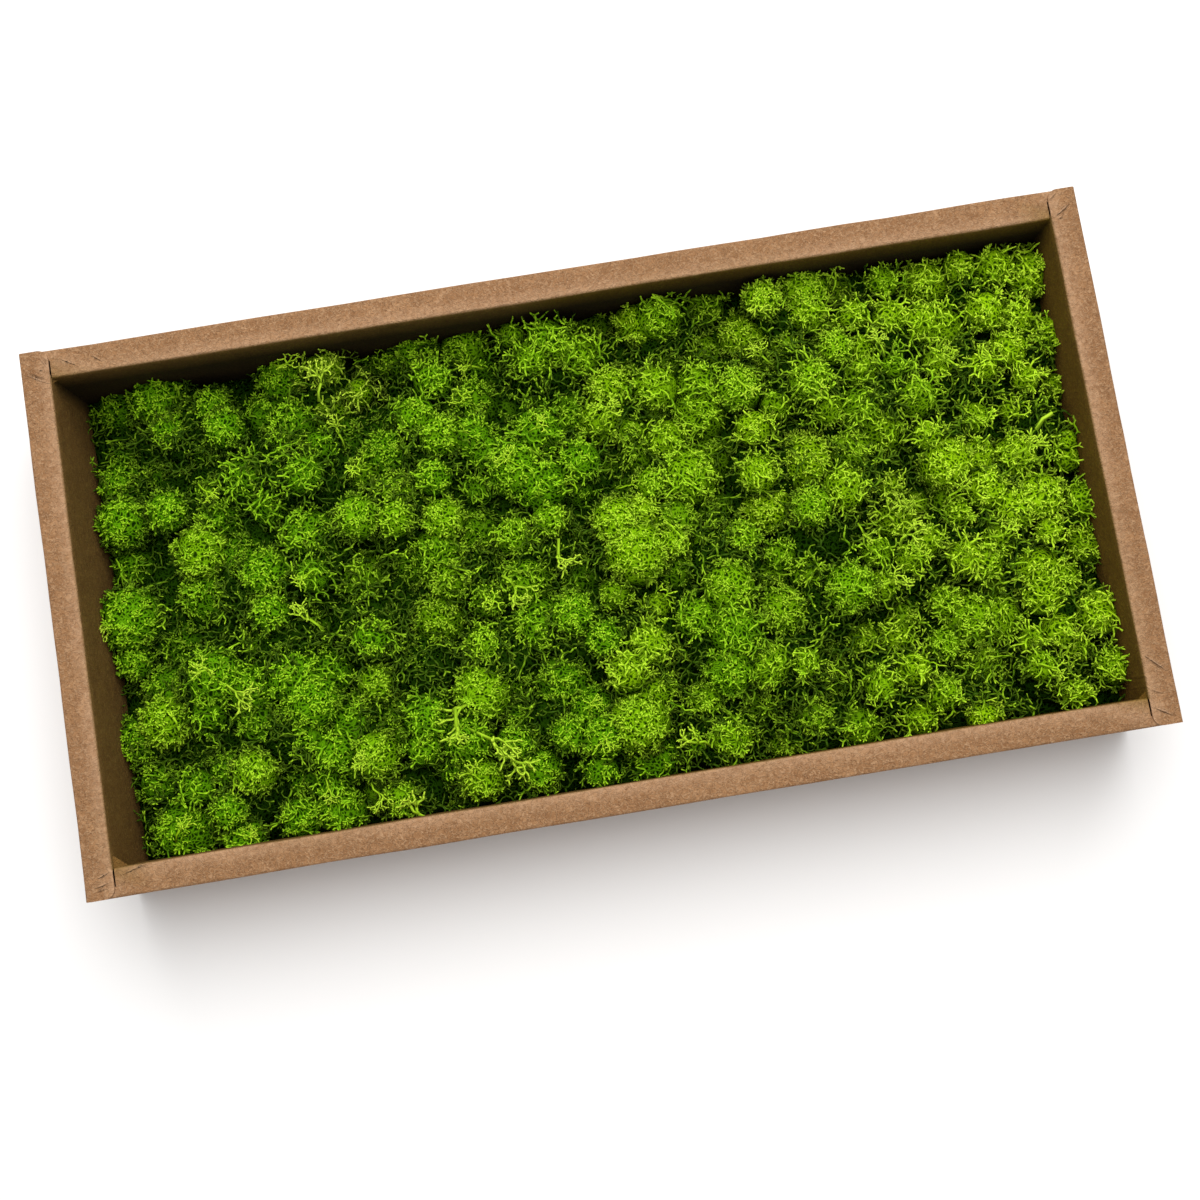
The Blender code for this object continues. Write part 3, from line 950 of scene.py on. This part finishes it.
def turned(aims, roll):
    """A turn for each aim that brings +Z to it, with a roll about it, as rows of three axes."""
    aside = np.column_stack([aims[:, 2], np.zeros(len(aims)), -aims[:, 0]]) + NUDGE
    aside -= aims * (aside * aims).sum(1)[:, None]
    aside /= np.linalg.norm(aside, axis=1)[:, None]
    third = np.cross(aims, aside)
    c, s = np.cos(roll)[:, None], np.sin(roll)[:, None]
    return np.stack([aside * c + third * s, third * c - aside * s, aims], axis=1)


def depth_shade_of(points):
    """How deep each point lies in the bed, from 0 at its top, which sets its painted shade."""
    below = bed_top(points[..., 0], points[..., 1]) - points[..., 2]
    return np.clip((below - DEPTH_SHADE_FROM) / (DEPTH_SHADE_TO - DEPTH_SHADE_FROM), 0, DEPTH_SHADE_MOST)


def add_sprays(parts, kind, roots, aims, scale, tone, tops, sizes, paleness=0):
    """Adds turned copies of one kind of spray to a tuft's parts, with painted shade towards their lobes'
    feet.
    """
    spray_points, spray_faces, ages = sprays[kind]
    frames = turned(aims, grow.uniform(0, math.tau, len(roots)))
    made = np.einsum("vi,nij->nvj", spray_points, frames) * scale[:, None, None] + roots[:, None]
    shade = np.zeros((len(roots), len(ages), 4))
    shade[..., 0] = ages
    shade[..., 1] = tone[:, None]
    shade[..., 2] = np.reshape(paleness, (-1, 1))
    side_to = SIDE_SHADE_TO + SIDE_SHADE_RISE * roots[:, :1] / INNER_X
    side = ((tops[:, None] - made[..., 2]) / sizes[:, None] - SIDE_SHADE_FROM) / (side_to - SIDE_SHADE_FROM)
    shade[..., 3] = np.maximum(depth_shade_of(made), np.clip(side, 0, SIDE_SHADE_MOST))
    offsets = len(spray_points) * np.arange(len(roots))
    faces = (spray_faces[None] + offsets[:, None, None]).reshape(-1, 3)
    parts.append((made.reshape(-1, 3), faces, shade.reshape(-1, 4)))


def add_lobe_sprays(parts, kind, chosen):
    """Adds those sprays of a tuft's lobes that are of one kind, each leaning a little its own way."""
    lean = CLOSE_LEAN if kind < SPRAY_KINDS else LOOSE_LEAN
    aims = spray_aim[chosen] + grow.normal(0, lean, (len(chosen), 3))
    aims /= np.linalg.norm(aims, axis=1)[:, None]
    scale = grow.uniform(*SPRAY_SIZE, len(chosen))
    sunk = spray_height[kind] * SPRAY_SUNK * scale
    roots = spray_place[chosen] - spray_aim[chosen] * sunk[:, None]
    lobes = lobe_of[chosen]
    tone = np.clip(lobe_tone[lobes] + grow.normal(0, SPRAY_TONE_SCATTER, len(chosen)), 0, 1)
    add_sprays(parts, kind, roots, aims, scale, tone, lobe_top[lobes], lobe_size[lobes], lobe_pale[lobes])


def add_fill(parts, x, y):
    """Adds one loose spray of the tangle, with painted shade as if it stood low on a small lobe."""
    top = float(heads_top(np.array(x), np.array(y))) - FILL_BELOW
    kind = int(grow.integers(SPRAY_KINDS, 2 * SPRAY_KINDS))
    aim = grow.normal(0, FILL_LEAN, (1, 3)) + UP
    aim /= np.linalg.norm(aim)
    root = np.array([[x, y, top]]) - aim * spray_height[kind]
    tone = np.array([FILL_TONE])
    lobe_top_here = np.array([top + FILL_SUNK])
    lobe_size_here = np.array([FILL_LOBE])
    add_sprays(parts, kind, root, aim, np.ones(1), tone, lobe_top_here, lobe_size_here)


def add_sprig(parts, spot, kind):
    """Adds one sprig to a tuft's parts, flattened as it lies on the heads."""
    x, y, heading, lift, size, paleness = spot
    sprig_points, sprig_faces, ages = sprig_kinds[kind]
    aim = unit(np.array([math.cos(heading), math.sin(heading), lift]))
    frame_of = turned(aim[None], grow.uniform(0, math.tau, 1))
    made = np.einsum("vi,nij->nvj", sprig_points * size, frame_of)[0]
    spread_out = made - made @ aim[:, None] * aim[None]
    made -= (0, 0, 1 - SPRIG_FLATNESS) * spread_out
    back = aim * SPRIG_BACK * size
    made += (x, y, float(heads_top(np.array(x), np.array(y)))) - back * (1, 1, 0)
    made[:, 2] = np.minimum(made[:, 2], SPRIG_TOP)
    shade = np.zeros((len(made), 4))
    shade[:, 0] = SPRIG_AGES[0] + SPRIG_AGES[1] * ages
    shade[:, 1] = SPRIG_TONE
    shade[:, 2] = paleness
    # painted shade deep in the bed, weaker on the sprigs
    shade[:, 3] = depth_shade_of(made) * SPRIG_SHADE
    parts.append((made, sprig_faces, shade))


def add_stub(parts):
    """Adds the broken stub."""
    points, faces, _ = tube(STUB, (STUB_RADIUS,) * len(STUB))
    parts.append((points, faces, np.tile(STUB_GROWTH_AND_SHADE, (len(points), 1))))


def add_lobe_core(parts, lobe):
    """Adds the inside of one lobe, with painted shade towards its foot and deep in the bed."""
    depth = CLOSE_CORE + (LOOSE_CORE - CLOSE_CORE) * lobe_open[lobe]
    core = lobe_middle[lobe] + core_points * (lobe_size[lobe] - depth)
    side = (1 - core_points[:, 2]) * CORE_SIDE_SHADE - SIDE_SHADE_FROM
    shade = np.zeros((len(core), 4))
    shade[:, 1] = lobe_tone[lobe]
    shade[:, 3] = np.maximum(depth_shade_of(core), np.clip(side, 0, 1))
    parts.append((core, core_faces, shade))


def add_in_full_shade(parts, points, faces):
    """Adds old stems, painted in full shade all over."""
    parts.append((points, faces, np.ones((len(points), 4))))


def mesh_piece(name, parts, inner):
    """An object of a tuft's parts, kept clear of the card, with an attribute that the moss's materials read.

    Its last triangles, as many as inner says, are those of the insides of the moss.
    """
    starts = np.cumsum([0] + [len(points) for points, _, _ in parts])
    points = np.vstack([part[0] for part in parts])
    faces = np.vstack([part[1] + start for part, start in zip(parts, starts)])
    growth_and_shade = np.vstack([part[2] for part in parts])
    limit = np.array((INNER_X - WALL_GAP, INNER_Y - WALL_GAP))
    points[:, :2] = np.clip(points[:, :2], -limit, limit)
    points[:, 2] = np.maximum(points[:, 2], CARD + WALL_GAP)
    mesh = bpy.data.meshes.new(name)
    mesh.vertices.add(len(points))
    mesh.vertices.foreach_set("co", points.astype(np.float32).ravel())
    mesh.loops.add(faces.size)
    mesh.loops.foreach_set("vertex_index", faces.astype(np.int32).ravel())
    mesh.polygons.add(len(faces))
    mesh.polygons.foreach_set("loop_start", np.arange(0, faces.size, 3, dtype=np.int32))
    mesh.update(calc_edges=True)
    mesh.shade_smooth()
    layer = mesh.color_attributes.new("growth_and_shade", "FLOAT_COLOR", "POINT")
    layer.data.foreach_set("color", growth_and_shade.astype(np.float32).ravel())
    material_of = np.zeros(len(faces), np.int32)
    material_of[len(faces) - inner :] = 1
    mesh.polygons.foreach_set("material_index", material_of)
    mesh.materials.append(moss_green)
    mesh.materials.append(moss_inside)
    made = bpy.data.objects.new(name, mesh)
    bpy.context.scene.collection.objects.link(made)
    return made


core_points, core_faces = ball(2)
for tuft in range(TUFT_COUNT):
    own = np.flatnonzero(head_tuft[lobe_head[lobe_of]] == tuft)
    loose = grow.uniform(0, 1, len(own)) < lobe_open[lobe_of[own]]
    kinds = grow.integers(0, SPRAY_KINDS, len(own)) + SPRAY_KINDS * loose
    parts = []
    for kind in np.unique(kinds):
        add_lobe_sprays(parts, kind, own[kinds == kind])
    for x, y in fill[fill_tuft == tuft]:
        add_fill(parts, x, y)
    if tuft == stub_tuft:
        add_stub(parts)
    for number in np.flatnonzero(sprig_tuft == tuft):
        add_sprig(parts, sprig_spots[number], number % SPRIG_KINDS)
    outer = len(parts)
    for lobe in np.flatnonzero(head_tuft[lobe_head] == tuft):
        add_lobe_core(parts, lobe)
    for head in np.flatnonzero(head_tuft == tuft):
        add_in_full_shade(parts, head_middle[head] + core_points * head_radius[head] * HEAD_CORE, core_faces)
    add_in_full_shade(parts, *mat_of(tuft))
    inner = sum(len(faces) for _, faces, _ in parts[outer:])
    piece = mesh_piece(f"moss_heads_{tuft + 1:02d}", parts, inner)
    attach(piece, "root")
    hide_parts(f"moss_tuft_{tuft + 1:02d}")

# The stage: a white floor just under the tray, an even white sky and one large soft lamp above and behind.
# The camera is the one that was fitted to the tray's rim in the photo, and looks almost straight down.
bpy.ops.mesh.primitive_plane_add(size=6, location=(0, 0, -0.0005))
floor = bpy.context.object
floor.name = "floor"
paper = bpy.data.materials.new("white_floor")
paper.use_nodes = True
paper.node_tree.nodes["Principled BSDF"].inputs["Base Color"].default_value = (0.88, 0.87, 0.86, 1)
paper.node_tree.nodes["Principled BSDF"].inputs["Roughness"].default_value = 0.9
floor.data.materials.append(paper)

world = bpy.data.worlds.new("studio")
bpy.context.scene.world = world
world.use_nodes = True
world.node_tree.nodes["Background"].inputs["Color"].default_value = (1, 1, 1, 1)
world.node_tree.nodes["Background"].inputs["Strength"].default_value = 0.53

LAMP_PLACE = (0.082, 0.50, 1.09)
bpy.ops.object.light_add(type="AREA", location=LAMP_PLACE)
lamp = bpy.context.object
lamp.name = "key_light"
lamp.data.size = 1.15
lamp.data.energy = 18
lamp.rotation_euler = (-Vector(LAMP_PLACE)).to_track_quat("-Z", "Y").to_euler()

bpy.ops.object.camera_add(location=(-0.00719, -0.06231, 0.4520))
camera = bpy.context.object
camera.rotation_euler = (math.radians(6.279), math.radians(0.131), math.radians(-9.278))
camera.data.sensor_width = 36
camera.data.lens = 45
camera.data.clip_start = 0.01
bpy.context.scene.camera = camera
bpy.context.scene.view_settings.view_transform = "Standard"
